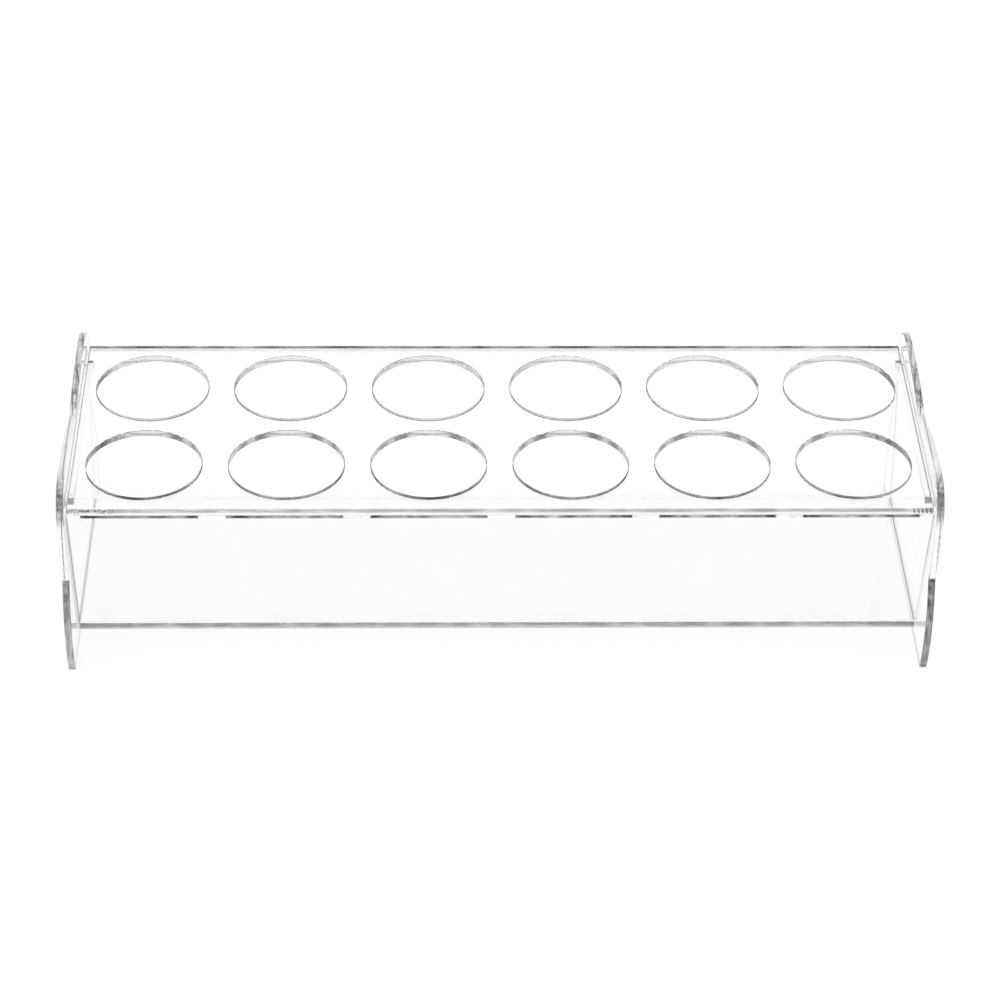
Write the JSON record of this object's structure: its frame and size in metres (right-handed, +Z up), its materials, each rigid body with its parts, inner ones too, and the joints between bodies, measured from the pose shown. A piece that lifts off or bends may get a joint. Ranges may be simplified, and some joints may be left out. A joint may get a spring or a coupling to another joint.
{
  "type": "acrylic flower vase",
  "caption": "Long clear acrylic trough vase on two shaped end plates, with leaning walls and a loose lid pierced by two rows of round stem holes.",
  "frame": {"origin": "on the table under the middle of the trough, at the centre of the bottom of the bounding box", "axes": "+Z up, +X along the trough to the right, the front towards -Y"},
  "size_m": [0.306, 0.1152, 0.077],
  "materials": {
    "clear_acrylic": "clear polished sheet",
    "clear_acrylic_lid": "clear polished sheet"
  },
  "bodies": {
    "vase": {"end_plate_left": "clear_acrylic", "end_plate_right": "clear_acrylic", "front_panel": "clear_acrylic", "back_panel": "clear_acrylic", "bottom_panel": "clear_acrylic", "plate_ledge_left": "clear_acrylic", "plate_ledge_right": "clear_acrylic"},
    "lid": {"hole_plate": "clear_acrylic_lid"}
  },
  "joints": [
    {"name": "lid_lift", "type": "slide", "parent": "vase", "child": "lid", "axis": [0, 0, 1], "range_m": [0, 0.04]}
  ]
}
